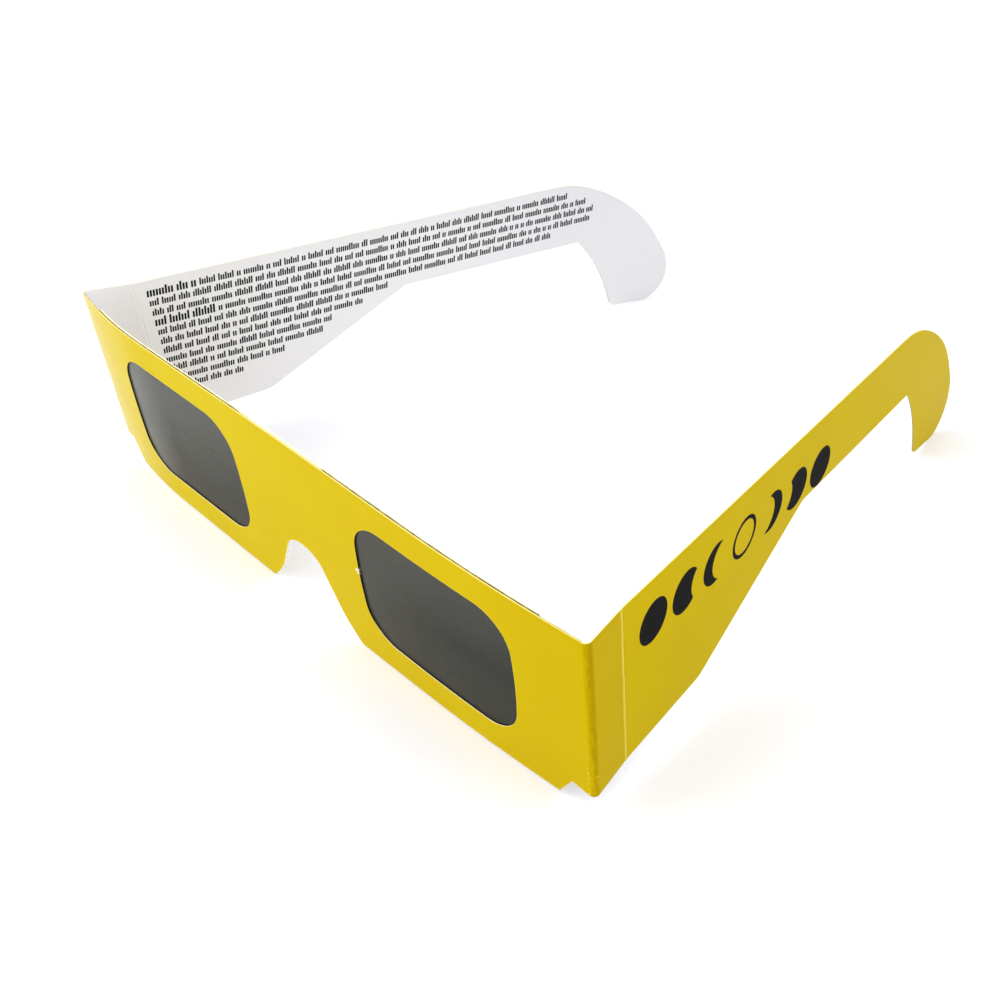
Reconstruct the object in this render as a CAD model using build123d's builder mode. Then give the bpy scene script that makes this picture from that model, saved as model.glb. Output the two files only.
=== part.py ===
from math import asin, atan2, cos, degrees, hypot, radians, sin, tan
import os

from build123d import *

os.makedirs("parts", exist_ok=True)

# Viewing glasses folded from one sheet of card, standing open on their front and their ear hooks.
# Lengths are in millimetres and angles in degrees. Left and right are the wearer's: left is +X.
# Heights are measured up the leaning front from its lowest edge. The origin is the middle of the
# bridge, on the outer face of the front.

# Sheets: card, dark film and the two lines of glue that hold the film between the plies
card = 0.28
film = 0.08
glue = 0.03

# Front, flat in the middle and bowed back towards each fold
front_width = 140.0
front_height = 40.4
bottom_rise = 0.55
bridge_height = 28.0
left_flat = 31.0
right_flat = 45.0
left_bow_turn = 5.1
right_bow_turn = 12.3

# Relief notch at each end of the folded bottom edge, and the flap that folds up behind
notch_foot_inset = 7.5
notch_head_inset = 4.6
notch_height = 5.5
flap_border = 6.0

# Windows with bowed sides and large corners, set in borders of card
window_foot = 6.7
window_head_border = 6.5
window_nose_border = 3.55
window_end_border = 15.25
window_corner = 7.4
window_bow = 1.1

# Cut-out for the nose: flared skirts, leaning sides and a round crown
nose_half_width = 13.7
nose_skirt = (11.0, 2.8)
nose_waist = (8.7, 6.1)
nose_shoulder = (5.0, 13.9)
nose_crown = (3.2, 15.6)
nose_height = 16.4

# Filters, each a strip of film that laps round its window, placed a little differently
filter_lap = 4.8
filter_foot = 2.6
left_filter_shift = 1.0
right_filter_shift = -3.4

# Fold at each end of the front, and the second crease behind it
end_foot = 4.7
end_height = 39.8
left_bend_radius = 0.9
right_bend_radius = 0.5
left_fold_turn = 99.0
right_fold_turn = 97.2
root_length = 9.5
left_crease_turn = -3.5
right_crease_turn = -9.5
crease_bead = 0.44
hinge_gap = 0.08

# Temple, drawn along its length from the fold: a blade whose foot runs down to a toe, then an arm
arm_fall_share = 0.156
blade_toe_reach = 32.9
blade_toe_drop = 3.5
blade_toe_round = 6.0
arm_start_reach = 70.1
arm_start_depth = 15.9
arm_start_round = 1.6

# Ear hook: places along the card and up it, from where the top of the arm starts to curve
hook_reach = 113.0
crown_points = [(12.3, -5.1), (21.5, -12.6), (28.1, -21.0), (32.3, -29.3)]
heel_centre = (26.4, -35.1)
heel_radius = 7.0
heel_turn = 104.0
hook_tip = (14.7, -39.4)
hook_tip_round = 3.0
hook_edge_middle = (11.3, -27.1)
throat = (5.7, -17.1)
throat_round = 1.2

# Layers of the front, as depths back from its outer face
gap = film + 2 * glue
front_ply_depth = card / 2
front_glue_depth = card + glue / 2
filter_depth = card + gap / 2
back_glue_depth = card + gap - glue / 2
back_ply_depth = card + gap + card / 2
edge_radius = card + gap / 2
leaf_start = crease_bead / 2 + hinge_gap

# Places that follow from the sizes above
notch_foot = front_width / 2 - notch_foot_inset
notch_head = front_width / 2 - notch_head_inset
window_inner = nose_half_width + window_nose_border
window_outer = front_width / 2 - window_end_border
window_middle = (window_inner + window_outer) / 2
window_height = front_height - window_foot - window_head_border
flap_reach = window_outer + flap_border


class Side:
    """One end of the front in plan: x outwards, y back, angles turned from the outward direction."""

    def __init__(self, sign, flat, bow_turn, bend_radius, fold_turn, crease_turn):
        self.sign = sign
        self.flat = flat
        self.bow_turn = bow_turn
        self.bend_radius = bend_radius
        self.fold_turn = fold_turn
        self.setback = bend_radius * tan(radians(fold_turn / 2))
        run = (front_width / 2 - flat - self.setback) / radians(bow_turn)
        self.bow_radius = run + front_ply_depth
        self.bow_end = (flat + run * sin(radians(bow_turn)), self.bow_radius - run * cos(radians(bow_turn)))
        self.corner = step(self.bow_end, self.setback, bow_turn)
        self.root_angle = bow_turn + fold_turn
        self.arm_angle = self.root_angle + crease_turn
        self.crease = step(self.corner, root_length, self.root_angle)
        self.hook = (hook_reach, head_height(self, hook_reach))


def step(start, length, angle):
    return (start[0] + length * cos(radians(angle)), start[1] + length * sin(radians(angle)))


def moved(start, offset):
    return (start[0] + offset[0], start[1] + offset[1])


def head_height(side, reach):
    return end_height - arm_fall_share * (reach - side.setback)


def foot_height(side, reach):
    return end_foot - blade_toe_drop * (reach - side.setback) / (blade_toe_reach - side.setback)


left = Side(1, left_flat, left_bow_turn, left_bend_radius, left_fold_turn, left_crease_turn)
right = Side(-1, right_flat, right_bow_turn, right_bend_radius, right_fold_turn, right_crease_turn)

# The front leans forwards until its folded edge and the heel of the hook share the floor
heel_reach, heel_height = moved(left.hook, heel_centre)
heel_back = step(left.crease, heel_reach - root_length, left.arm_angle)[1] - filter_depth
heel_drop = heel_height - edge_radius
lean = asin((heel_radius - edge_radius) / hypot(heel_back, heel_drop)) - atan2(heel_drop, heel_back)

# Plan plane at the foot of the front, and the front seen square on
up = Vector(0, -sin(lean), cos(lean))
foot = Plane(origin=up * -bridge_height, x_dir=(1, 0, 0), z_dir=up)
square_on = Plane(origin=foot.origin, x_dir=(1, 0, 0), z_dir=-foot.y_dir)


def leaf_plane(side, start, angle, reach):
    """Middle plane of a flat leaf: y up the front, x along the leaf and reach at start."""
    direction = foot.x_dir * (side.sign * cos(radians(angle))) + foot.y_dir * sin(radians(angle))
    origin = foot.from_local_coords((side.sign * start[0], start[1], 0)) - direction * reach
    return Plane(origin=origin, x_dir=direction, z_dir=direction.cross(up))


def bowed_sheet(depth, thickness):
    """Sheet as wide and high as the front, following its bow at one depth."""
    with BuildSketch(foot) as plan:
        with BuildLine():
            middle = Line((-right.flat, depth), (left.flat, depth))
            JernArc(middle @ 1, middle % 1, left.bow_radius - depth, left.bow_turn)
            JernArc(middle @ 0, middle % 0 * -1, right.bow_radius - depth, -right.bow_turn)
        trace(line_width=thickness)
    extrude(plan.sketch, amount=front_height)


def keep_inside(half_outline, mode=Mode.INTERSECT):
    """Cut right through the front along one half of an outline and its mirror image."""
    with BuildSketch(square_on) as outline:
        with BuildLine():
            Polyline(*half_outline, close=True)
        make_face()
        mirror(about=Plane.YZ)
    extrude(outline.sketch, amount=-front_height, mode=mode)


def trim_top():
    """The top edge falls a little from the middle to the folds."""
    above = 2 * front_height
    brim = [(0, front_height), (front_width / 2, end_height), (front_width / 2, above), (0, above)]
    keep_inside(brim, Mode.SUBTRACT)


def cut_nose():
    with BuildSketch(square_on) as nose:
        with BuildLine():
            skirt = ThreePointArc((nose_half_width, 0), nose_skirt, nose_waist)
            flank = Line(skirt @ 1, nose_shoulder)
            ThreePointArc(flank @ 1, nose_crown, (0, nose_height))
            Polyline((0, nose_height), (0, -card), (nose_half_width, -card), (nose_half_width, 0))
        make_face()
        mirror(about=Plane.YZ)
    extrude(nose.sketch, amount=-front_height, mode=Mode.SUBTRACT)


def cut_windows():
    head = window_foot + window_height
    middle = window_foot + window_height / 2
    nose_side = window_inner + window_bow
    end_side = window_outer - window_bow
    with BuildSketch(square_on) as window:
        with BuildLine():
            Line((nose_side, window_foot), (end_side, window_foot))
            ThreePointArc((end_side, window_foot), (window_outer, middle), (end_side, head))
            Line((end_side, head), (nose_side, head))
            ThreePointArc((nose_side, head), (window_inner, middle), (nose_side, window_foot))
        make_face()
        fillet(window.vertices(), window_corner)
        mirror(about=Plane.YZ)
    extrude(window.sketch, amount=-front_height, mode=Mode.SUBTRACT)


# Outlines of one half of the front, above the folded bottom edge
bottom_half = [(0, edge_radius), (nose_half_width, edge_radius), (notch_foot, edge_radius + bottom_rise)]
fold_start = front_width / 2 - left.setback
notch_half = [(notch_head, notch_height), (fold_start, end_foot), (front_width / 2, end_foot)]
end_half = [(front_width / 2, front_height), (0, front_height)]
flap_half = [(flap_reach, front_height)]

with BuildPart() as front_ply:
    bowed_sheet(front_ply_depth, card)
    keep_inside(bottom_half + notch_half + end_half)
    trim_top()
    cut_nose()
    cut_windows()
front_ply.part.label = "front_ply"
export_step(front_ply.part, "parts/front_ply.step")

with BuildPart() as back_ply:
    bowed_sheet(back_ply_depth, card)
    keep_inside(bottom_half + flap_half + [(0, front_height)])
    trim_top()
    cut_nose()
    cut_windows()
back_ply.part.label = "back_ply"
export_step(back_ply.part, "parts/back_ply.step")

with BuildPart() as front_glue:
    bowed_sheet(front_glue_depth, glue)
    keep_inside(bottom_half + flap_half + [(0, front_height)])
    trim_top()
    cut_nose()
    cut_windows()
front_glue.part.label = "front_glue"
export_step(front_glue.part, "parts/front_glue.step")

with BuildPart() as back_glue:
    bowed_sheet(back_glue_depth, glue)
    keep_inside(bottom_half + flap_half + [(0, front_height)])
    trim_top()
    cut_nose()
    cut_windows()
back_glue.part.label = "back_glue"
export_step(back_glue.part, "parts/back_glue.step")

# Folded bottom edge, in two stretches either side of the nose: the card turns under the film
for side, name in ((left, "left_bottom_fold"), (right, "right_bottom_fold")):
    rise = bottom_rise / (notch_foot - nose_half_width)
    start = foot.from_local_coords((side.sign * nose_half_width, filter_depth, edge_radius))
    along = foot.x_dir * side.sign + up * rise
    across = foot.y_dir * side.sign
    edge_turn = side.sign * degrees((notch_foot - side.flat) / (side.bow_radius - filter_depth))
    with BuildPart() as bottom_fold:
        with BuildLine(Plane(origin=start, x_dir=along, z_dir=along.cross(across))) as edge:
            straight = Line((0, 0), (side.flat - nose_half_width, 0))
            JernArc(straight @ 1, straight % 1, side.bow_radius - filter_depth, edge_turn)
        with BuildSketch(Plane(origin=start, x_dir=across, z_dir=along)) as turned_card:
            with BuildLine():
                outside = CenterArc((0, 0), edge_radius, 180, 180)
                inside = CenterArc((0, 0), gap / 2, 180, 180)
                Line(outside @ 0, inside @ 0)
                Line(outside @ 1, inside @ 1)
            make_face()
        sweep(turned_card.sketch, path=edge.wire())
    bottom_fold.part.label = name
    export_step(bottom_fold.part, f"parts/{name}.step")

# Dark filters between the plies, open at the top edge
for side, shift, name in ((left, left_filter_shift, "left_filter"), (right, right_filter_shift, "right_filter")):
    with BuildPart() as filter_strip:
        bowed_sheet(filter_depth, film)
        with BuildSketch(square_on) as strip:
            with Locations((side.sign * (window_middle + shift), (filter_foot + front_height) / 2)):
                Rectangle(window_outer - window_inner + 2 * filter_lap, front_height - filter_foot)
        extrude(strip.sketch, amount=-front_height, mode=Mode.INTERSECT)
        trim_top()
        cut_nose()
    filter_strip.part.label = name
    export_step(filter_strip.part, f"parts/{name}.step")


def draw_root(side):
    """Narrow leaf between the fold and the second crease."""
    near = side.setback + hinge_gap
    far = root_length - leaf_start
    with BuildSketch(leaf_plane(side, side.corner, side.root_angle, 0)) as leaf:
        with BuildLine():
            Polyline(
                (near, foot_height(side, near)),
                (far, foot_height(side, far)),
                (far, head_height(side, far)),
                (near, head_height(side, near)),
                close=True,
            )
        make_face()
    return leaf.sketch


def draw_temple(side):
    """Blade, arm and ear hook in one outline, measured along the card from the fold."""
    near = root_length + leaf_start
    tip = moved(side.hook, hook_tip)
    inner_corner = moved(side.hook, throat)
    toe = (blade_toe_reach, foot_height(side, blade_toe_reach))
    arm_start = (arm_start_reach, head_height(side, arm_start_reach) - arm_start_depth)
    with BuildSketch(leaf_plane(side, side.crease, side.arm_angle, root_length)) as leaf:
        with BuildLine():
            brow = Line((near, head_height(side, near)), side.hook)
            crown = [moved(side.hook, point) for point in crown_points]
            heel = moved(side.hook, heel_centre)
            Spline(brow @ 1, *crown, moved(heel, (heel_radius, 0)), tangents=(brow % 1, (0, -1)))
            sole = CenterArc(heel, heel_radius, 0, -heel_turn)
            Line(sole @ 1, tip)
            ThreePointArc(tip, moved(side.hook, hook_edge_middle), inner_corner)
            Polyline(inner_corner, arm_start, toe, (near, foot_height(side, near)))
            Line((near, foot_height(side, near)), brow @ 0)
        make_face()
        for corner, radius in (
            (tip, hook_tip_round),
            (inner_corner, throat_round),
            (arm_start, arm_start_round),
            (toe, blade_toe_round),
        ):
            fillet(leaf.vertices().sort_by_distance(corner)[0], radius)
    return leaf.sketch


for side, prefix in ((left, "left"), (right, "right")):
    # Soft bend of the outer ply at the end of the front
    with BuildPart() as fold:
        with BuildSketch(foot.offset(end_foot)) as bend:
            with BuildLine():
                start = (side.sign * side.bow_end[0], side.bow_end[1])
                heading = (side.sign * cos(radians(side.bow_turn)), sin(radians(side.bow_turn)))
                JernArc(start, heading, side.bend_radius, side.sign * side.fold_turn)
            trace(line_width=card)
        extrude(bend.sketch, amount=end_height - end_foot)
    fold.part.label = f"{prefix}_fold"
    export_step(fold.part, f"parts/{prefix}_fold.step")

    with BuildPart() as root:
        extrude(draw_root(side), amount=card / 2, both=True)
    root.part.label = f"{prefix}_root"
    export_step(root.part, f"parts/{prefix}_root.step")

    # Raised bead of the second crease
    with BuildPart() as crease:
        crease_foot = foot_height(side, root_length)
        with BuildSketch(foot.offset(crease_foot)) as bead:
            with Locations((side.sign * side.crease[0], side.crease[1])):
                Circle(crease_bead / 2)
        extrude(bead.sketch, amount=head_height(side, root_length) - crease_foot)
    crease.part.label = f"{prefix}_crease"
    export_step(crease.part, f"parts/{prefix}_crease.step")

    with BuildPart() as temple:
        extrude(draw_temple(side), amount=card / 2, both=True)
    temple.part.label = f"{prefix}_temple"
    export_step(temple.part, f"parts/{prefix}_temple.step")
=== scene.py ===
import bpy
import math
import random
from mathutils import Matrix, Vector


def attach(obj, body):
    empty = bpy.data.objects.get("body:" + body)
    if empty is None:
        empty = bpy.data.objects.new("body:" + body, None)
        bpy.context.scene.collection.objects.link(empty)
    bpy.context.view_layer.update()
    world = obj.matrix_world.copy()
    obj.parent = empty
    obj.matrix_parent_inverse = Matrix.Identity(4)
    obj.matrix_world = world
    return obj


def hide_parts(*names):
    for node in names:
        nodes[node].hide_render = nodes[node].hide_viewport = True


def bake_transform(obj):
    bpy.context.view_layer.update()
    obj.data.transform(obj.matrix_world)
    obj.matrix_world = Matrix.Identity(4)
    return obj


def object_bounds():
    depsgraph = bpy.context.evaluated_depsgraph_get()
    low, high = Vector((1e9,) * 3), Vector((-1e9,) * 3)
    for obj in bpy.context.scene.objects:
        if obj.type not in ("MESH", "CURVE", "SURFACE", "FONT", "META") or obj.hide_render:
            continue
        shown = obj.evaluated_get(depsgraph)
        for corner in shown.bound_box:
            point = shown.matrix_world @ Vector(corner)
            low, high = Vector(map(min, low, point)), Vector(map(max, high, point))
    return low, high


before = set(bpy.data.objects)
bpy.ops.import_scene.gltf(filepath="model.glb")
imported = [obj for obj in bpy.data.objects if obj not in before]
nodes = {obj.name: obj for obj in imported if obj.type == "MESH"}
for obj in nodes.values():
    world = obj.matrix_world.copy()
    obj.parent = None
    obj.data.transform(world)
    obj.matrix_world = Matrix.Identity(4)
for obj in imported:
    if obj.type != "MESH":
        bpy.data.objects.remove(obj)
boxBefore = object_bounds()


def deselect():
    for item in bpy.context.selected_objects:
        item.select_set(False)


deselect()
print("frame loaded:", len(nodes), "card and film parts")


# how the glasses stand, metres and degrees; plan places are out from the middle and back
# from the front
stance = {
    "lean": 8.1505,
    "footPlace": (0.0, 0.0039697, -0.0277172),  # foot of the front, under the bridge
    "card": 0.00028,
    "headFall": 0.156,  # fall of a temple's top edge, as a share of the way along it
    "footFall": 0.109,  # fall of its foot, as far as the toe
    "endFoot": 0.0047,
    "endHeight": 0.0398,
    "rootLength": 0.0095,
}
sideLook = {
    "left": {
        "sign": 1,
        "bendStart": (0.068896, 0.001828), "bendCentre": (0.068816, 0.002724),
        "bendEnd": (0.069689, 0.002943), "setback": 0.001054, "crease": (0.067631, 0.011135),
        "bowTurn": 5.1, "foldTurn": 99.0, "creaseTurn": -3.5,
        "bowFrom": 0.031, "bowRadius": 0.4264,
    },
    "right": {
        "sign": -1,
        "bendStart": (0.069246, 0.002753), "bendCentre": (0.069139, 0.003241),
        "bendEnd": (0.069610, 0.003408), "setback": 0.000567, "crease": (0.066629, 0.011828),
        "bowTurn": 12.3, "foldTurn": 97.2, "creaseTurn": -9.5,
        "bowFrom": 0.045, "bowRadius": 0.11395,
    },
}
lean = math.radians(stance["lean"])
upFront = Vector((0, -math.sin(lean), math.cos(lean)))
backWay = Vector((0, math.cos(lean), math.sin(lean)))
outFront = -backWay


def inRoom(side, plan, height):
    aside = Vector((sideLook[side]["sign"] * plan[0], 0, 0))
    return Vector(stance["footPlace"]) + aside + backWay * plan[1] + upFront * height


def planWay(side, angle):
    turn = math.radians(angle)
    return Vector((sideLook[side]["sign"] * math.cos(turn), math.sin(turn), 0))


def leafWay(side, angle):
    way = planWay(side, angle)
    return Vector((way.x, 0, 0)) + backWay * way.y


# small helpers for the node trees
def addNode(tree, kind, **settings):
    node = tree.nodes.new(kind)
    for key, value in settings.items():
        setattr(node, key, value)
    return node


def noise(tree, place, scale, detail=3, rough=0.6):
    node = addNode(tree, "ShaderNodeTexNoise")
    node.inputs["Scale"].default_value = scale
    node.inputs["Detail"].default_value = detail
    node.inputs["Roughness"].default_value = rough
    tree.links.new(place, node.inputs["Vector"])
    return node.outputs["Fac"]


def spread(tree, value, lowIn, highIn, lowOut=0, highOut=1):
    node = addNode(tree, "ShaderNodeMapRange")
    node.inputs["From Min"].default_value = lowIn
    node.inputs["From Max"].default_value = highIn
    node.inputs["To Min"].default_value = lowOut
    node.inputs["To Max"].default_value = highOut
    tree.links.new(value, node.inputs["Value"])
    return node.outputs["Result"]


def sums(tree, operation, first, second):
    node = addNode(tree, "ShaderNodeMath", operation=operation)
    for socket, value in zip(node.inputs, (first, second)):
        if isinstance(value, (int, float)):
            socket.default_value = value
        else:
            tree.links.new(value, socket)
    return node.outputs[0]


def alongWay(tree, place, way):
    node = addNode(tree, "ShaderNodeVectorMath", operation="DOT_PRODUCT")
    node.inputs[1].default_value = way
    tree.links.new(place, node.inputs[0])
    return node.outputs["Value"]


def dots(tree, first, second):
    node = addNode(tree, "ShaderNodeVectorMath", operation="DOT_PRODUCT")
    tree.links.new(first, node.inputs[0])
    tree.links.new(second, node.inputs[1])
    return node.outputs["Value"]


def stretched(tree, place, scale):
    node = addNode(tree, "ShaderNodeVectorMath", operation="MULTIPLY")
    node.inputs[1].default_value = scale
    tree.links.new(place, node.inputs[0])
    return node.outputs["Vector"]


def blendColors(tree, amount, first, second):
    node = addNode(tree, "ShaderNodeMix", data_type="RGBA")
    for socket, value in zip((node.inputs[0], node.inputs[6], node.inputs[7]),
                             (amount, first, second)):
        if isinstance(value, tuple):
            socket.default_value = (*value, 1)
        else:
            tree.links.new(value, socket)
    return node.outputs[2]


def newFinish(name):
    made = bpy.data.materials.new(name)
    made.use_nodes = True
    return made, made.node_tree, made.node_tree.nodes["Principled BSDF"]


# camera at the photo's place, metres and degrees
camera = {
    "place": (0.161358, -0.106438, 0.136660),
    "turn": (54.3257, -1.3332, 46.7214),
    "lens": 48.5626,
    "sensor": 36,
    "nearClip": 0.01,
}


def addCamera():
    bpy.ops.object.camera_add(location=camera["place"],
                              rotation=[math.radians(a) for a in camera["turn"]])
    shot = bpy.context.object
    shot.data.lens = camera["lens"]
    shot.data.sensor_width = camera["sensor"]
    shot.data.clip_start = camera["nearClip"]
    bpy.context.scene.camera = shot


# light of the room from all round and from some ways more, and two large soft lamps
studio = {
    "skyAll": 0.472,
    "skyWays": (((0, 0, 1), 0.3), ((0, 0.6, 0.8), 0.25), ((0, -1, 0.2), 0.92)),
    "skyTint": (0.985, 0.992, 1),
    "floorColor": (0.845, 0.85, 0.885),
    "floorRough": 0.7,
    "floorGloss": 0.2,
    "floorSize": 4.0,
    "lampAim": (0, 0.05, 0),
    "lamps": {  # place, size and watts
        "frontLamp": ((-0.5, -0.4, 0.5), 0.9, 4.3),
        "backLamp": ((0.5, 0.4, 0.8), 1.4, 4.4),
    },
}


def addLamp(name, place, size, power):
    aim = (Vector(studio["lampAim"]) - Vector(place)).to_track_quat("-Z", "Y").to_euler()
    bpy.ops.object.light_add(type="AREA", location=place, rotation=aim)
    lamp = bpy.context.object
    lamp.name = name
    lamp.data.shape = "DISK"
    lamp.data.size = size
    lamp.data.energy = power


def addSky():
    world = bpy.data.worlds.new("paleStudio")
    world.use_nodes = True
    bpy.context.scene.world = world
    tree = world.node_tree
    room = addNode(tree, "ShaderNodeTexCoord")
    total = addNode(tree, "ShaderNodeValue").outputs[0]
    total.default_value = studio["skyAll"]
    for way, power in studio["skyWays"]:
        aim = alongWay(tree, room.outputs["Generated"], Vector(way).normalized())
        lobe = addNode(tree, "ShaderNodeMapRange", interpolation_type="SMOOTHSTEP")
        lobe.inputs["To Max"].default_value = power  # nothing from behind, full along its way
        tree.links.new(aim, lobe.inputs["Value"])
        total = sums(tree, "ADD", lobe.outputs["Result"], total)
    sky = tree.nodes["Background"]
    sky.inputs["Color"].default_value = (*studio["skyTint"], 1)
    tree.links.new(total, sky.inputs["Strength"])


def addTable():
    floorHeight = boxBefore[0].z
    bpy.ops.mesh.primitive_plane_add(size=studio["floorSize"], location=(0, 0, floorHeight))
    floor = bpy.context.object
    floor.name = "paleTable"
    finish, tree, shader = newFinish("paleTable")
    shader.inputs["Base Color"].default_value = (*studio["floorColor"], 1)
    shader.inputs["Roughness"].default_value = studio["floorRough"]
    shader.inputs["Specular IOR Level"].default_value = studio["floorGloss"]
    floor.data.materials.append(finish)


addCamera()
addSky()
bpy.context.scene.view_settings.view_transform = "Standard"
for name, (place, size, power) in studio["lamps"].items():
    addLamp(name, place, size, power)
addTable()
print("camera, lamps and table")


# printed card: yellow ink outside, bare board inside, pale cut edges
# a noise is given as scale, detail and roughness, and a range as from, to, and what they give
cardLook = {
    "ink": (0.535, 0.393, 0.0005),
    "inkDeep": (0.464, 0.326, 0.0003),
    # pale ink at the rims: worn ink and a painted highlight
    "inkWornAndHighlight": (0.85, 0.7, 0.12),
    "rootInk": (0.49, 0.345, 0.0005),
    "board": (0.87, 0.862, 0.872),
    "boardPaintedShade": (0.69, 0.682, 0.692),
    "paintedShadeFrom": (0.02, 0.12),  # painted shade, darker back from the front
    "boardShade": (0.52, 0.51, 0.52),
    "topEdge": (0.82, 0.75, 0.45),
    "headEdge": (0.66, 0.55, 0.16),
    "lowEdgeShade": (0.34, 0.26, 0.09),
    "edgeRange": (-0.3, 0.2),  # from the painted shade of an edge facing down to the top edge's pale tone, by how it faces up
    "inkRough": 0.1,
    "boardRough": 0.75,
    "roughRange": (0.3, 0.7, -0.04, 0.04),
    "gloss": 0.0045,
    "frontGloss": 0.011,
    "frontRough": 0.06,
    "grain": (5200.0, 2, 0.7),
    "patches": (60.0, 3, 0.5),
    "patchRange": (0.35, 0.65, 0, 0.22),
    "grainRange": (0.3, 0.7, 0, 0.3),
    "boardGrainRange": (0.3, 0.7, 0, 0.1),
    "fibreDepth": 0.000012,
    "fibreStrength": 0.5,
    "rim": 0.00022,  # how far the pale rim, worn ink and painted highlight, reaches in from the edges
    "rimSamples": 6,
    "rimRange": (0.995, 0.9, 0, 0.7),
    "rimScale": 900.0,
    "rimPatchRange": (0.35, 0.6, 0.6, 1),
    # painted light along the front: lighter from the middle towards the far end, a pale painted
    # sheen at the far end, and painted shade at the near end; from and to these distances across
    # it, how much, and to what
    "paintedLights": (
        (0.02, -0.04, 1.0, (0.568, 0.444, 0.003)),
        (-0.045, -0.068, 1.0, (0.58, 0.472, 0.065)),
        (0.045, 0.062, 0.6, (0.455, 0.32, 0.0003)),
    ),
    "flatFrom": 0.7,  # faces that turn outwards by more than this are printed
    "bentFrom": 0.3,
}


def cardTones(tree, place, printed):
    grain = noise(tree, place, *cardLook["grain"])
    patches = noise(tree, place, *cardLook["patches"])
    deep = cardLook["inkDeep"]
    ink = blendColors(tree, spread(tree, patches, *cardLook["patchRange"]), printed, deep)
    ink = blendColors(tree, spread(tree, grain, *cardLook["grainRange"]), ink, deep)
    # painted shade: the bare board darkens back from the front, towards the hooks
    paintedShade = spread(tree, alongWay(tree, place, (0, 1, 0)), *cardLook["paintedShadeFrom"])
    board = blendColors(tree, paintedShade, cardLook["board"], cardLook["boardPaintedShade"])
    shade = spread(tree, grain, *cardLook["boardGrainRange"])
    board = blendColors(tree, shade, board, cardLook["boardShade"])
    return grain, patches, ink, board


# painted light and shade on the front's ink, by the distance across it
def inkPaintedLight(tree, place):
    across = alongWay(tree, place, (1, 0, 0))
    tone = cardLook["ink"]
    for start, end, amount, paintedTone in cardLook["paintedLights"]:
        tone = blendColors(tree, spread(tree, across, start, end, 0, amount), tone, paintedTone)
    return tone


def finishCard(tree, shader, color, dull, grain, patches, gloss=cardLook["gloss"]):
    tree.links.new(color, shader.inputs["Base Color"])
    uneven = spread(tree, patches, *cardLook["roughRange"])
    tree.links.new(sums(tree, "ADD", dull, uneven), shader.inputs["Roughness"])
    shader.inputs["Specular IOR Level"].default_value = gloss
    relief = addNode(tree, "ShaderNodeBump")
    relief.inputs["Strength"].default_value = cardLook["fibreStrength"]
    relief.inputs["Distance"].default_value = cardLook["fibreDepth"]
    tree.links.new(grain, relief.inputs["Height"])
    tree.links.new(relief.outputs["Normal"], shader.inputs["Normal"])


# cut walls of the front. In the windows they are cream along the sill, where a wall faces up,
# brown where they face the other side, and black deeper in: painted shade of the thin walls and
# of the gap beside the film; in the notch over the nose they are white and ragged
wallLook = {
    # painted shade: black in the gap beside the film, brown on the jambs
    "black": (0.008, 0.007, 0.006),
    "brown": (0.16, 0.09, 0.02),
    "cream": (0.9, 0.8, 0.42),
    "reach": (0.0155, 0.0566),  # a window lies between these distances from the middle
    "head": 0.0365,
    "brownDepth": 0.00006,
    "creamDepth": 0.00013,
    "sillRange": (0.5, 0.8),  # how far a wall faces up the front
    "jambRange": (-0.1, 0.25),  # how far it faces sideways
    "seamDepth": 0.00035,  # middle of the film between the plies
    "seamRange": (0.000156, 0.000104),
    "seam": (0.035, 0.022, 0.015),
    "seamScale": 700.0,
    "seamPatchRange": (0.35, 0.6, 0.25, 1),
    "filmFrom": (0.0112, 0.0122),  # the dark seam runs outwards from here
    "tornAt": (0.0171, 0, 0.0208),  # out, back and up in the front, where fibres are torn
    "tornReach": (0.0009, 0.00045),
    "tufts": (2600.0, 2, 0.6),
    "tuftRange": (0.48, 0.56),
    "fibre": (0.95, 0.94, 0.92),
    "notchRange": (0.4, 0.5, 0.45, 1),
    "notch": (0.93, 0.92, 0.9),
}


def inFront(tree, place):
    foot = Vector(stance["footPlace"])
    across = alongWay(tree, place, (1, 0, 0))
    height = sums(tree, "SUBTRACT", alongWay(tree, place, upFront), foot.dot(upFront))
    depth = sums(tree, "SUBTRACT", alongWay(tree, place, backWay), foot.dot(backWay))
    for look in sideLook.values():
        past = sums(tree, "MULTIPLY", across, look["sign"])
        past = sums(tree, "MAXIMUM", sums(tree, "SUBTRACT", past, look["bowFrom"]), 0)
        square = sums(tree, "MULTIPLY", past, past)
        bow = sums(tree, "DIVIDE", square, 2 * look["bowRadius"])
        depth = sums(tree, "SUBTRACT", depth, bow)
    return sums(tree, "ABSOLUTE", across, 0), height, depth


def besideFilm(tree, away):
    return spread(tree, away, *wallLook["filmFrom"])


def seamAlongHead(tree, place, edge):
    away, height, depth = inFront(tree, place)
    off = sums(tree, "ABSOLUTE", sums(tree, "SUBTRACT", depth, wallLook["seamDepth"]), 0)
    uneven = noise(tree, place, wallLook["seamScale"])
    uneven = spread(tree, uneven, *wallLook["seamPatchRange"])
    seam = sums(tree, "MULTIPLY", spread(tree, off, *wallLook["seamRange"]), uneven)
    atHead = sums(tree, "GREATER_THAN", height, wallLook["head"])
    seam = sums(tree, "MULTIPLY", seam, atHead)
    seam = sums(tree, "MULTIPLY", seam, besideFilm(tree, away))
    return blendColors(tree, seam, edge, wallLook["seam"])


def notchWall(tree, place, edge):
    away, height, depth = inFront(tree, place)
    within = sums(tree, "MULTIPLY", sums(tree, "LESS_THAN", away, wallLook["reach"][0]),
                  sums(tree, "LESS_THAN", height, wallLook["head"]))
    ragged = spread(tree, noise(tree, place, *wallLook["tufts"]), *wallLook["notchRange"])
    return blendColors(tree, sums(tree, "MULTIPLY", within, ragged), edge, wallLook["notch"])


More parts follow.
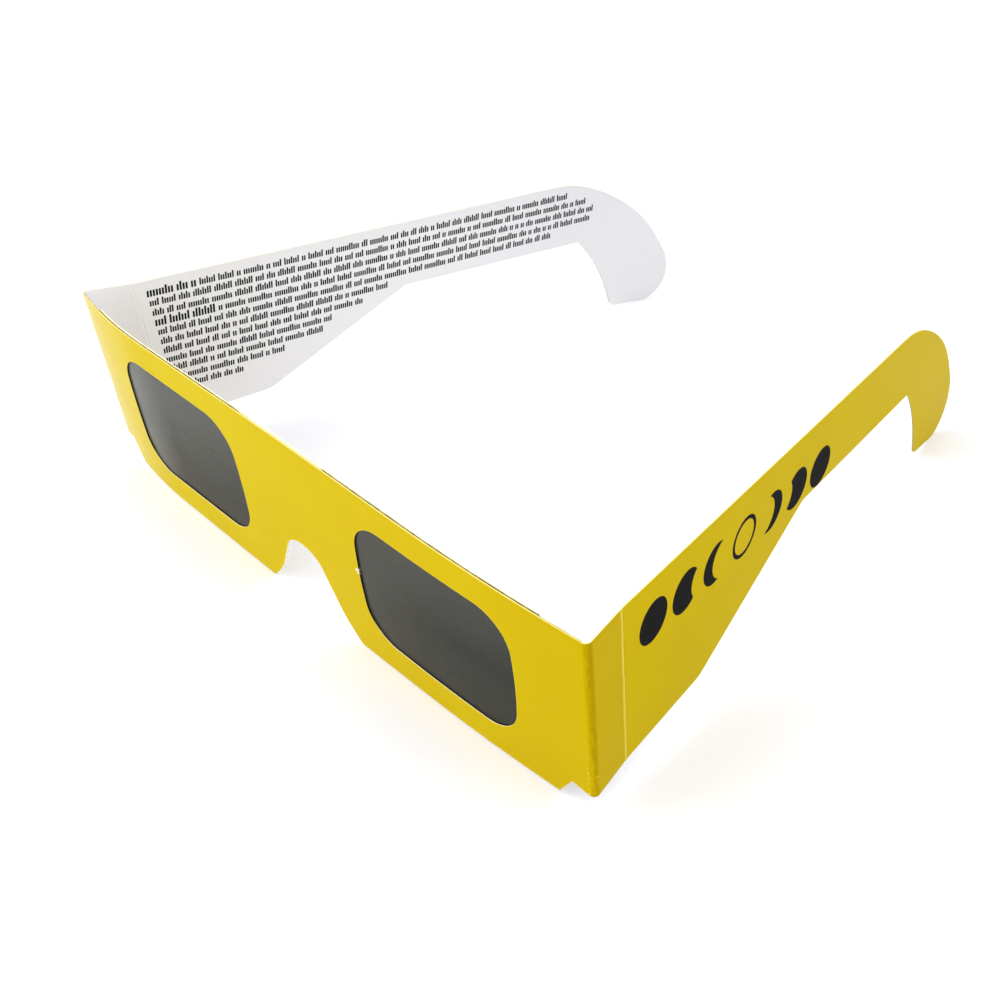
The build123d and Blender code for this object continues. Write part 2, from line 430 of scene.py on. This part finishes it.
def tornFibres(tree, place):
    off = addNode(tree, "ShaderNodeVectorMath", operation="DISTANCE")
    off.inputs[1].default_value = inRoom("left", wallLook["tornAt"][:2], wallLook["tornAt"][2])
    tree.links.new(place, off.inputs[0])
    tufts = spread(tree, noise(tree, place, *wallLook["tufts"]), *wallLook["tuftRange"])
    near = spread(tree, off.outputs["Value"], *wallLook["tornReach"])
    return sums(tree, "MULTIPLY", near, tufts)


def windowWalls(tree, place, facing, edge):
    away, height, depth = inFront(tree, place)
    inside = sums(tree, "MULTIPLY", sums(tree, "GREATER_THAN", away, wallLook["reach"][0]),
                  sums(tree, "LESS_THAN", away, wallLook["reach"][1]))
    inside = sums(tree, "MULTIPLY", inside, sums(tree, "LESS_THAN", height, wallLook["head"]))
    # the cream sill is the cut card; the black deeper in and the brown jambs are painted shade
    behindCream = sums(tree, "GREATER_THAN", depth, wallLook["creamDepth"])
    sill = blendColors(tree, behindCream, wallLook["cream"], wallLook["black"])
    behindBrown = sums(tree, "GREATER_THAN", depth, wallLook["brownDepth"])
    jamb = blendColors(tree, behindBrown, wallLook["brown"], wallLook["black"])
    upwards = spread(tree, alongWay(tree, facing, upFront), *wallLook["sillRange"])
    sideways = spread(tree, alongWay(tree, facing, (1, 0, 0)), *wallLook["jambRange"])
    wall = blendColors(tree, sideways, edge, jamb)
    wall = blendColors(tree, upwards, wall, sill)
    return blendColors(tree, inside, edge, wall)


# pale rim along the cut edges of the print: partly worn ink, partly a painted highlight
def wornAndHighlightRim(tree, place, wornAndHighlightWay):
    rounded = addNode(tree, "ShaderNodeBevel", samples=cardLook["rimSamples"])
    rounded.inputs["Radius"].default_value = cardLook["rim"]
    surface = addNode(tree, "ShaderNodeNewGeometry")
    turned = dots(tree, rounded.outputs["Normal"], surface.outputs["True Normal"])
    worn = spread(tree, turned, *cardLook["rimRange"])
    patchy = spread(tree, noise(tree, place, cardLook["rimScale"]), *cardLook["rimPatchRange"])
    worn = sums(tree, "MULTIPLY", worn, patchy)
    way, start, end = wornAndHighlightWay
    reach = sums(tree, "ABSOLUTE", alongWay(tree, place, way), 0)
    return sums(tree, "MULTIPLY", worn, spread(tree, reach, start, end))


def cardMaterial(name, outward, wornAndHighlightWay):
    made, tree, shader = newFinish(name + "Card")
    room = addNode(tree, "ShaderNodeTexCoord")
    place, normal = room.outputs["Object"], room.outputs["Normal"]
    isFront = name == "front_ply"
    facing = alongWay(tree, normal, outward)
    printedFrom = cardLook["bentFrom" if "bottom" in name else "flatFrom"]
    printed = sums(tree, "GREATER_THAN", facing, printedFrom)
    inner = sums(tree, "LESS_THAN", facing, -printedFrom)
    plain = cardLook["rootInk" if "root" in name else "ink"]
    base = inkPaintedLight(tree, place) if isFront else plain
    grain, patches, ink, board = cardTones(tree, place, base)
    if wornAndHighlightWay:
        ink = blendColors(tree, wornAndHighlightRim(tree, place, wornAndHighlightWay), ink, cardLook["inkWornAndHighlight"])
    # cut edges facing down are given painted shade, edges facing up the pale tone of the cut card
    upwards = spread(tree, alongWay(tree, normal, (0, 0, 1)), *cardLook["edgeRange"])
    pale = cardLook["headEdge" if isFront else "topEdge"]
    edge = blendColors(tree, upwards, cardLook["lowEdgeShade"], pale)
    if isFront:
        edge = windowWalls(tree, place, normal, edge)
    if name in ("front_ply", "back_ply"):
        edge = notchWall(tree, place, seamAlongHead(tree, place, edge))
    color = blendColors(tree, printed, edge, ink)
    color = blendColors(tree, inner, color, board)
    if isFront:
        color = blendColors(tree, tornFibres(tree, place), color, wallLook["fibre"])
    rough = cardLook["frontRough" if isFront else "inkRough"]
    gloss = cardLook["frontGloss" if isFront else "gloss"]
    dull = blendColors(tree, printed, (cardLook["boardRough"],) * 3, (rough,) * 3)
    finishCard(tree, shader, color, dull, grain, patches, gloss)
    return made


def dress(piece, *finishes):
    piece.data.materials.clear()
    for finish in finishes:
        piece.data.materials.append(finish)


# which way each card part is printed, and where its rims carry worn ink and a painted highlight:
# not where the card runs on past its bends
acrossFront = ((1, 0, 0), 0.0683, 0.068)
alongTemple = ((0, 1, 0), 0.0128, 0.0134)
cardParts = {
    "front_ply": (outFront, acrossFront),
    "back_ply": (backWay, acrossFront),
    "left_bottom_fold": (-upFront, None),
    "right_bottom_fold": (-upFront, None),
    "left_root": ((1, 0, 0), None),
    "right_root": ((-1, 0, 0), None),
    "left_temple": ((1, 0, 0), alongTemple),
    "right_temple": ((-1, 0, 0), alongTemple),
}
for name, (outward, wornAndHighlightWay) in cardParts.items():
    dress(nodes[name], cardMaterial(name, outward, wornAndHighlightWay))
print("card dressed")


# dark film behind the windows
filmLook = {
    "color": (0.0095, 0.0094, 0.007),
    "haze": (0.015, 0.0151, 0.0118),
    "hazeNoise": (140.0, 1, 0.5),
    "hazeRange": (0.35, 0.7, 0, 0.4),
    "streak": (0.023, 0.0236, 0.0195),
    "streakNoise": (95.0, 0, 0.45),
    "streakRange": (0.4, 0.68, 0, 0.55),
    "streakTurn": 38,
    "streakScale": (0.22, 1, 1),
    # painted reflections, pale, in the film: way, from and to these distances along it, and tone
    "glows": (
        ((-0.12, 0, 1), -0.0125, 0.008, (0.048, 0.0495, 0.0425)),
        ((-1, 0, 0), 0.041, 0.054, (0.092, 0.0935, 0.083)),
    ),
    "nearGlow": (0.032, 0.018, (0.032, 0.032, 0.026)),  # a painted reflection at the bridge end of the left window
    "roughRange": (0.3, 0.7, 0.16, 0.24),
    "streakRough": (0.35, 0.7, 0, 0.1),
    "gloss": 0.086,
    "glossTint": (1, 0.985, 0.72),
}


def filmMaterial():
    made, tree, shader = newFinish("darkFilm")
    room = addNode(tree, "ShaderNodeTexCoord")
    place = room.outputs["Object"]
    haze = noise(tree, place, *filmLook["hazeNoise"])
    slant = addNode(tree, "ShaderNodeMapping")
    slant.inputs["Rotation"].default_value = (0, math.radians(filmLook["streakTurn"]), 0)
    slant.inputs["Scale"].default_value = filmLook["streakScale"]
    tree.links.new(place, slant.inputs["Vector"])
    streaks = noise(tree, slant.outputs["Vector"], *filmLook["streakNoise"])
    hazy = spread(tree, haze, *filmLook["hazeRange"])
    tone = blendColors(tree, hazy, filmLook["color"], filmLook["haze"])
    streaky = spread(tree, streaks, *filmLook["streakRange"])
    tone = blendColors(tree, streaky, tone, filmLook["streak"])
    for way, start, end, pale in filmLook["glows"]:
        tone = blendColors(tree, spread(tree, alongWay(tree, place, way), start, end), tone, pale)
    across = alongWay(tree, place, (1, 0, 0))
    start, end, pale = filmLook["nearGlow"]
    near = sums(tree, "MULTIPLY", spread(tree, across, start, end),
                sums(tree, "GREATER_THAN", across, 0))
    tone = blendColors(tree, near, tone, pale)
    tree.links.new(tone, shader.inputs["Base Color"])
    dull = sums(tree, "ADD", spread(tree, haze, *filmLook["roughRange"]),
                spread(tree, streaks, *filmLook["streakRough"]))
    tree.links.new(dull, shader.inputs["Roughness"])
    shader.inputs["Specular IOR Level"].default_value = filmLook["gloss"]
    shader.inputs["Specular Tint"].default_value = (*filmLook["glossTint"], 1)
    return made


film = filmMaterial()
for name in ("left_filter", "right_filter"):
    dress(nodes[name], film)


# dry glue between the plies: a dark line beside the films, pale under the bridge
glueLook = {
    "color": (0.03, 0.028, 0.026),
    "pale": (0.1, 0.095, 0.085),
    "blotScale": 700.0,
    "blotRange": (0.4, 0.7),
    "bridge": (0.8, 0.78, 0.7),
    "rough": 0.45,
}


def glueMaterial():
    made, tree, shader = newFinish("dryGlue")
    place = addNode(tree, "ShaderNodeTexCoord").outputs["Object"]
    blots = spread(tree, noise(tree, place, glueLook["blotScale"]), *glueLook["blotRange"])
    tone = blendColors(tree, blots, glueLook["color"], glueLook["pale"])
    away = sums(tree, "ABSOLUTE", alongWay(tree, place, (1, 0, 0)), 0)
    tone = blendColors(tree, besideFilm(tree, away), glueLook["bridge"], tone)
    tree.links.new(tone, shader.inputs["Base Color"])
    shader.inputs["Roughness"].default_value = glueLook["rough"]
    return made


glue = glueMaterial()
for name in ("front_glue", "back_glue"):
    dress(nodes[name], glue)
print("film and glue dressed")


# small helpers for modelling
def pickNothing(mesh):
    for part in (mesh.polygons, mesh.edges, mesh.vertices):
        part.foreach_set("select", [False] * len(part))


def pickEdges(piece, wanted):
    bpy.ops.object.mode_set(mode="OBJECT")
    mesh = piece.data
    pickNothing(mesh)
    for edge in mesh.edges:
        ends = [mesh.vertices[i].co for i in edge.vertices]
        if all(wanted(end) for end in ends):
            edge.select = True
            for i in edge.vertices:
                mesh.vertices[i].select = True
    bpy.ops.object.mode_set(mode="EDIT")
    bpy.ops.mesh.select_mode(type="EDGE")


def faceOut():
    bpy.ops.object.mode_set(mode="EDIT")
    bpy.ops.mesh.select_all(action="SELECT")
    bpy.ops.mesh.normals_make_consistent(inside=False)
    bpy.ops.object.mode_set(mode="OBJECT")


def addSheet(name, middle, way, length, high):
    deselect()
    turn = (math.radians(90), 0, math.atan2(way.y, way.x))
    bpy.ops.mesh.primitive_plane_add(size=1, location=middle, rotation=turn)
    band = bpy.context.object
    band.name = name
    band.scale = (length, high, 1)
    bpy.ops.object.transform_apply(location=True, rotation=True, scale=True)
    return band


def thicken(band, proud):
    wall = band.modifiers.new("wall", "SOLIDIFY")
    wall.thickness = stance["card"] + 2 * proud
    wall.offset = 0
    bpy.ops.object.modifier_apply(modifier=wall.name)


def leanWithFront(piece, smoothUnder):
    piece.rotation_euler = (lean, 0, 0)
    piece.location = stance["footPlace"]
    bpy.ops.object.transform_apply(location=True, rotation=True, scale=True)
    bpy.ops.object.shade_smooth_by_angle(angle=math.radians(smoothUnder))


# finishes of the strips that bend: their patterns follow the card, along it and up it in metres
bandLook = {
    "wander": (500.0, 4, 0.7),
    "wanderStretch": (1, 0.5, 1),
    "wanderRange": (0, 1, -0.5, 0.5),
    "lineWander": 0.0006,
    "lineSoft": (1.6, 0.5),  # a painted shade line softens between these shares of its half width
    # painted shade in a fold: the dark lines, and the dark streaks along its wrinkles
    "lineDark": (0.31, 0.2, 0.0009),
    "lineWeaker": (0.008, 0.032, 0.6, 1),  # towards a fold's foot
    "streaks": (2700.0, 3, 0.7),
    "streakStretch": (1, 0.11, 1),
    "streakRange": (0.44, 0.58, 0, 0.85),
    "streakFade": 0.0002,
    "streakDark": (0.37, 0.235, 0.0009),
    "specks": (1500.0, 2, 0.5),
    "speckRange": (0.64, 0.7),
    "speckFoot": 0.006,
    "speck": (0.95, 0.85, 0.4),
    "toneRange": (0.3, 0.7, 0.9, 1),
}


def bandTree(name):
    made, tree, shader = newFinish(name)
    card = addNode(tree, "ShaderNodeTexCoord").outputs["UV"]
    return made, tree, shader, card


def bandInk(name, lines, streaksFrom=None, streaksTo=None, specksBelow=None):
    made, tree, shader, card = bandTree(name)
    grain, patches, ink, board = cardTones(tree, card, cardLook["ink"])
    along = alongWay(tree, card, (1, 0, 0))
    high = alongWay(tree, card, (0, 1, 0))
    wander = noise(tree, stretched(tree, card, bandLook["wanderStretch"]), *bandLook["wander"])
    wander = spread(tree, wander, *bandLook["wanderRange"])
    wander = sums(tree, "MULTIPLY", wander, bandLook["lineWander"])
    outer, inner = bandLook["lineSoft"]
    for middle, half, amount, tone in lines:
        off = sums(tree, "SUBTRACT", sums(tree, "ADD", along, wander), middle)
        off = sums(tree, "ABSOLUTE", off, 0)
        line = spread(tree, off, half * outer, half * inner, 0, amount)
        if streaksTo:
            line = sums(tree, "MULTIPLY", line, spread(tree, high, *bandLook["lineWeaker"]))
        ink = blendColors(tree, line, ink, tone)
    if streaksTo:
        within = sums(tree, "MULTIPLY",
                      spread(tree, along, streaksFrom, (streaksFrom + streaksTo) / 2),
                      spread(tree, along, streaksTo, streaksTo - bandLook["streakFade"]))
        fine = stretched(tree, card, bandLook["streakStretch"])
        fine = spread(tree, noise(tree, fine, *bandLook["streaks"]), *bandLook["streakRange"])
        ink = blendColors(tree, sums(tree, "MULTIPLY", within, fine), ink,
                          bandLook["streakDark"])
    if specksBelow:
        spots = spread(tree, noise(tree, card, *bandLook["specks"]), *bandLook["speckRange"])
        low = spread(tree, high, specksBelow, bandLook["speckFoot"])
        ink = blendColors(tree, sums(tree, "MULTIPLY", spots, low), ink, bandLook["speck"])
    finishCard(tree, shader, ink, cardLook["inkRough"], grain, patches)
    return made


def bandBoard(name, tone):
    made, tree, shader, card = bandTree(name)
    grain, patches, ink, board = cardTones(tree, card, cardLook["ink"])
    board = blendColors(tree, spread(tree, grain, *bandLook["toneRange"]), board, tone)
    finishCard(tree, shader, board, cardLook["boardRough"], grain, patches)
    return made


def sortFaces(piece, outwardAt, least):
    for face in piece.data.polygons:
        facing = face.normal.dot(outwardAt(face.center))
        face.material_index = 0 if facing > least else 1 if facing < -least else 2


def mapCard(piece, reachAt):
    layer = piece.data.uv_layers[0]
    for corner in piece.data.loops:
        spot = piece.data.vertices[corner.vertex_index].co
        layer.data[corner.index].uv = (reachAt(spot), spot.z)


boardInside = bandBoard("bandInside", cardLook["board"])
boardEdge = bandBoard("bandEdge", cardLook["topEdge"])


# soft fold at each end of the front, one bent strip of card
foldLook = {
    "lap": 0.0003,
    "proud": 0.00001,
    "bendSteps": 14,
    "rows": 90,
    "wrinkle": 0.00007,
    "wrinkleSize": 0.0012,
    "wrinkleStretch": 0.3,
    "wrinkleDepth": 3,
    "smoothUnder": 50,
    "outerFrom": 0.5,
    "specksBelow": 0.016,
    # dark lines of painted shade in the bend: middle and half width as shares of the bend, how
    # much, and tone
    "lines": ((0.5, 0.5, 0.35, bandLook["streakDark"]), (0.8, 0.26, 0.5, bandLook["lineDark"])),
}


def cutIntoRows(band, high):
    bpy.ops.object.mode_set(mode="OBJECT")
    mesh = band.data
    pickNothing(mesh)
    for edge in mesh.edges:
        foot, head = [mesh.vertices[i].co.z for i in edge.vertices]
        edge.select = abs(head - foot) > high / 2
    bpy.ops.object.mode_set(mode="EDIT")
    bpy.ops.mesh.subdivide(number_cuts=foldLook["rows"])
    bpy.ops.object.mode_set(mode="OBJECT")


def crumple(band, side, reachAt):
    mapCard(band, lambda spot: reachAt(spot) * 0.5 + 0.5)  # a cloud's middle is at a half
    for corner in band.data.uv_layers[0].data:
        corner.uv = (corner.uv[0], corner.uv[1] * foldLook["wrinkleStretch"] * 0.5 + 0.5)
    clouds = bpy.data.textures.new(side + "Wrinkles", type="CLOUDS")
    clouds.noise_scale = foldLook["wrinkleSize"]
    clouds.noise_depth = foldLook["wrinkleDepth"]
    wrinkles = band.modifiers.new("crumple", "DISPLACE")
    wrinkles.texture = clouds
    wrinkles.texture_coords = "UV"
    wrinkles.strength = foldLook["wrinkle"]
    bpy.ops.object.modifier_apply(modifier=wrinkles.name)


def makeFoldBand(side):
    look = sideLook[side]
    sign, bow = look["sign"], look["bowTurn"]
    lap = foldLook["lap"]
    way = planWay(side, bow)
    start = Vector((sign * look["bendStart"][0], look["bendStart"][1], 0))
    centre = Vector((sign * look["bendCentre"][0], look["bendCentre"][1], 0))
    radius = (start - centre).length
    high = stance["endHeight"] - stance["endFoot"]
    middle = start - way * lap / 2 + Vector((0, 0, stance["endFoot"] + high / 2))
    band = addSheet(side + "FoldBand", middle, way, lap, high)
    pickEdges(band, lambda end: (end - start).xy.dot(way.xy) > -lap / 2)
    bpy.ops.mesh.spin(steps=foldLook["bendSteps"], angle=math.radians(-sign * look["foldTurn"]),
                      center=centre, axis=(0, 0, 1))
    stub = planWay(side, bow + look["foldTurn"]) * lap
    bpy.ops.mesh.extrude_region_move(TRANSFORM_OT_translate={"value": stub})
    cutIntoRows(band, high)

    def outwardAt(spot):
        return Vector((spot.x - centre.x, spot.y - centre.y, 0)).normalized()

    def reachAt(spot):
        out = outwardAt(spot)
        turn = math.atan2(out.y, sign * out.x) - math.radians(bow - 90)
        return lap + radius * turn

    crumple(band, side, reachAt)
    faceOut()
    thicken(band, foldLook["proud"])
    bendLength = radius * math.radians(look["foldTurn"])
    lines = [(lap + place * bendLength, half * bendLength, amount, tone)
             for place, half, amount, tone in foldLook["lines"]]
    ink = bandInk(side + "FoldInk", lines, lap, lap + bendLength, foldLook["specksBelow"])
    dress(band, ink, boardInside, boardEdge)
    sortFaces(band, outwardAt, foldLook["outerFrom"])
    mapCard(band, reachAt)
    leanWithFront(band, foldLook["smoothUnder"])
    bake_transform(band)
    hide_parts(side + "_fold")


for side in sideLook:
    makeFoldBand(side)
print("fold bands made")


# second crease, a pressed line with a raised ridge: places along the card from the crease,
# and out from it; a line is its middle, half width, how much, and tone. The pale line is a
# painted highlight on the ridge, partly worn ink, and the dark line is painted shade beside it
creaseLook = {
    "profile": ((-0.00042, 0), (-0.0002, 0), (-0.00005, 0.0001), (0.0001, 0.00009),
                (0.0002, -0.00002), (0.00042, 0)),
    "lines": ((-0.00006, 0.00018, 0.42, (0.9, 0.76, 0.16)),
              (0.00034, 0.00017, 0.75, (0.3, 0.19, 0.001))),
    "smoothUnder": 40,
    "outerFrom": 0.4,
}


def makeCreaseBand(side):
    look = sideLook[side]
    sign = look["sign"]
    rootAngle = look["bowTurn"] + look["foldTurn"]
    armAngle = rootAngle + look["creaseTurn"]
    spot = Vector((sign * look["crease"][0], look["crease"][1], 0))
    reach = stance["rootLength"] - look["setback"]
    foot = stance["endFoot"] - stance["footFall"] * reach
    head = stance["endHeight"] - stance["headFall"] * reach
    rootWay = planWay(side, rootAngle)
    fall = (stance["headFall"] + stance["footFall"]) / 2

    def onProfile(point):
        along, out = point
        angle = rootAngle if along < 0 else armAngle
        place = spot + planWay(side, angle) * along + planWay(side, angle - 90) * out
        return place - Vector((0, 0, fall * along))

    first, second = onProfile(creaseLook["profile"][0]), onProfile(creaseLook["profile"][1])
    middle = (first + second) / 2 + Vector((0, 0, (foot + head) / 2))
    length = (second - first).xy.length
    band = addSheet(side + "CreaseBand", middle, rootWay, length, head - foot)
    pickEdges(band, lambda end: (end - middle).xy.dot(rootWay.xy) > 0)
    before = second
    for point in creaseLook["profile"][2:]:
        after = onProfile(point)
        bpy.ops.mesh.extrude_region_move(TRANSFORM_OT_translate={"value": after - before})
        before = after
    bpy.ops.object.mode_set(mode="OBJECT")
    faceOut()
    thicken(band, foldLook["proud"])
    outward = planWay(side, (rootAngle + armAngle) / 2 - 90)
    dress(band, bandInk(side + "CreaseInk", creaseLook["lines"]), boardInside, boardEdge)
    sortFaces(band, lambda face: outward, creaseLook["outerFrom"])
    mapCard(band, lambda place: (place - spot).xy.dot(rootWay.xy))
    leanWithFront(band, creaseLook["smoothUnder"])
    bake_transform(band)
    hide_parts(side + "_crease")


for side in sideLook:
    makeCreaseBand(side)
print("crease bands made")


# black print, and what lies flat on a temple; reach is along the card from the fold
printLook = {
    "thick": 0.00003,
    "proud": 0.000012,
    "rough": 0.45,
    "wornRange": (0.45, 0.75, 0, 0.5),
    "wornTone": 2.5,  # times the ink's own tone
}


def printInk(name, color):
    made, tree, shader = newFinish(name)
    place = addNode(tree, "ShaderNodeTexCoord").outputs["Object"]
    worn = spread(tree, noise(tree, place, *cardLook["grain"]), *printLook["wornRange"])
    paler = tuple(printLook["wornTone"] * c for c in color)
    tree.links.new(blendColors(tree, worn, color, paler), shader.inputs["Base Color"])
    shader.inputs["Roughness"].default_value = printLook["rough"]
    shader.inputs["Specular IOR Level"].default_value = cardLook["gloss"]
    return made


def joinPieces(pieces, name):
    deselect()
    for piece in pieces:
        piece.select_set(True)
    bpy.context.view_layer.objects.active = pieces[0]
    bpy.ops.object.join()
    pieces[0].name = name
    return pieces[0]


def layOnLeaf(piece, side, outside):
    look = sideLook[side]
    armAngle = look["bowTurn"] + look["foldTurn"] + look["creaseTurn"]
    along = leafWay(side, armAngle)
    origin = inRoom(side, look["crease"], 0) - along * stance["rootLength"]
    out = along.cross(upFront) * look["sign"] * (1 if outside else -1)
    height = stance["card"] / 2 + printLook["proud"] - printLook["thick"] / 2
    piece.matrix_world = Matrix((along, upFront, out)).transposed().to_4x4()
    piece.location = origin + out * height
    deselect()
    piece.select_set(True)
    bpy.context.view_layer.objects.active = piece
    bpy.ops.object.transform_apply(location=True, rotation=True, scale=True)
    faceOut()


# row of eclipse phases printed outside the left temple
phaseLook = {
    "start": (0.0182, 0.0281),
    "end": (0.0766, 0.0164),
    "count": 7,
    "radius": 0.0041,
    "shift": 0.003,
    "ringWidth": 0.0008,
    "sides": 72,
    "cutterDepth": 0.001,
    "ink": (0.008, 0.0075, 0.008),
}


def addDisc(radius, thick, place):
    bpy.ops.mesh.primitive_cylinder_add(vertices=phaseLook["sides"], radius=radius,
                                        depth=thick, location=place)
    return bpy.context.object


def cutAway(piece, radius, place):
    cutter = addDisc(radius, phaseLook["cutterDepth"], place)
    bpy.context.view_layer.objects.active = piece
    cut = piece.modifiers.new("cut", "BOOLEAN")
    cut.operation = "DIFFERENCE"
    cut.solver = "EXACT"
    cut.object = cutter
    bpy.ops.object.modifier_apply(modifier=cut.name)
    bpy.data.objects.remove(cutter, do_unlink=True)


def makePhases():
    first = Vector((*phaseLook["start"], 0))
    last = Vector((*phaseLook["end"], 0))
    radius, count = phaseLook["radius"], phaseLook["count"]
    phases = []
    for i in range(count):
        deselect()
        spot = first.lerp(last, i / (count - 1))
        sun = addDisc(radius, printLook["thick"], spot)
        away = i - count // 2
        if away == 0:
            cutAway(sun, radius - phaseLook["ringWidth"], spot)
        elif abs(away) * phaseLook["shift"] < 2 * radius:
            aside = (last - first).normalized() * away * phaseLook["shift"]
            cutAway(sun, radius, spot - aside)
        phases.append(sun)
    row = joinPieces(phases, "eclipsePhases")
    bpy.ops.object.transform_apply(location=True, rotation=True, scale=True)
    layOnLeaf(row, "left", True)
    dress(row, printInk("blackPrint", phaseLook["ink"]))
    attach(row, "left_temple_leaf")


makePhases()
print("eclipse phases printed")


# rows of plain upright bars printed inside the right temple, under its top edge
barLook = {
    "rowStart": 0.0121,
    "firstDrop": 0.0030,  # below the top edge
    "rowStep": 0.00235,
    "rowEnds": (0.1145, 0.1215, 0.123, 0.123, 0.1105, 0.064, 0.058, 0.0505, 0.0445, 0.0365,
                0.0275),
    "barWidth": 0.00037,
    "barHeight": 0.00118,
    "tallHeight": 0.00162,
    "tallShare": 0.33,
    "cornerShare": 0.25,
    "cornerSteps": 2,
    "pitch": 0.00052,
    "gap": 0.0005,
    "groups": (2, 3, 4, 4, 5, 6, 7, 8, 9, 11),
    "boldRows": (0, 3),
    "boldReach": 0.023,
    "boldScale": 1.25,
    "seed": 12,
    "ink": (0.02, 0.02, 0.022),
}


def makeBar(height):
    deselect()
    bpy.ops.mesh.primitive_plane_add(size=1)
    bar = bpy.context.object
    bar.scale = (barLook["barWidth"], height, 1)
    bpy.ops.object.transform_apply(location=False, rotation=False, scale=True)
    bpy.ops.object.mode_set(mode="EDIT")
    bpy.ops.mesh.select_all(action="SELECT")
    bpy.ops.mesh.bevel(affect="VERTICES", offset=barLook["barWidth"] * barLook["cornerShare"],
                       segments=barLook["cornerSteps"])
    rise = (0, 0, printLook["thick"])
    bpy.ops.mesh.extrude_region_move(TRANSFORM_OT_translate={"value": rise})
    bpy.ops.object.mode_set(mode="OBJECT")
    bar.location = (0, (height - barLook["barHeight"]) / 2, -printLook["thick"] / 2)
    bpy.ops.object.transform_apply(location=True, rotation=False, scale=False)
    return bar


def copyOf(piece, place):
    twin = piece.copy()
    twin.data = piece.data.copy()
    twin.location = place
    bpy.context.collection.objects.link(twin)
    return twin


def makeGroups(short, tall, chance):
    groups = []
    for count in barLook["groups"]:
        bars = []
        for i in range(count):
            bar = tall if chance.random() < barLook["tallShare"] else short
            bars.append(copyOf(bar, (i * barLook["pitch"], 0, 0)))
        groups.append(joinPieces(bars, "barGroup"))
        bpy.ops.object.transform_apply(location=True, rotation=False, scale=False)
    return groups


def makeBars():
    chance = random.Random(barLook["seed"])
    slope = math.atan(stance["headFall"])
    short, tall = makeBar(barLook["barHeight"]), makeBar(barLook["tallHeight"])
    groups = makeGroups(short, tall, chance)
    rows = []
    for row, end in enumerate(barLook["rowEnds"]):
        reach = barLook["rowStart"]
        drop = barLook["firstDrop"] + row * barLook["rowStep"]
        while reach < end:
            pick = chance.randrange(len(groups))
            bold = row in barLook["boldRows"] and reach < barLook["boldReach"]
            size = barLook["boldScale"] if bold else 1
            spot = (reach, stance["endHeight"] - stance["headFall"] * reach - drop, 0)
            twin = copyOf(groups[pick], spot)
            twin.rotation_euler = (0, 0, -slope)
            twin.scale = (size, size, 1)
            rows.append(twin)
            reach += size * barLook["groups"][pick] * barLook["pitch"] + barLook["gap"]
    for spare in (short, tall, *groups):
        bpy.data.objects.remove(spare, do_unlink=True)
    block = joinPieces(rows, "printedBars")
    bpy.ops.object.transform_apply(location=True, rotation=True, scale=True)
    layOnLeaf(block, "right", False)
    dress(block, printInk("greyPrint", barLook["ink"]))
    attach(block, "right_temple_leaf")


makeBars()
print("rows of bars printed")
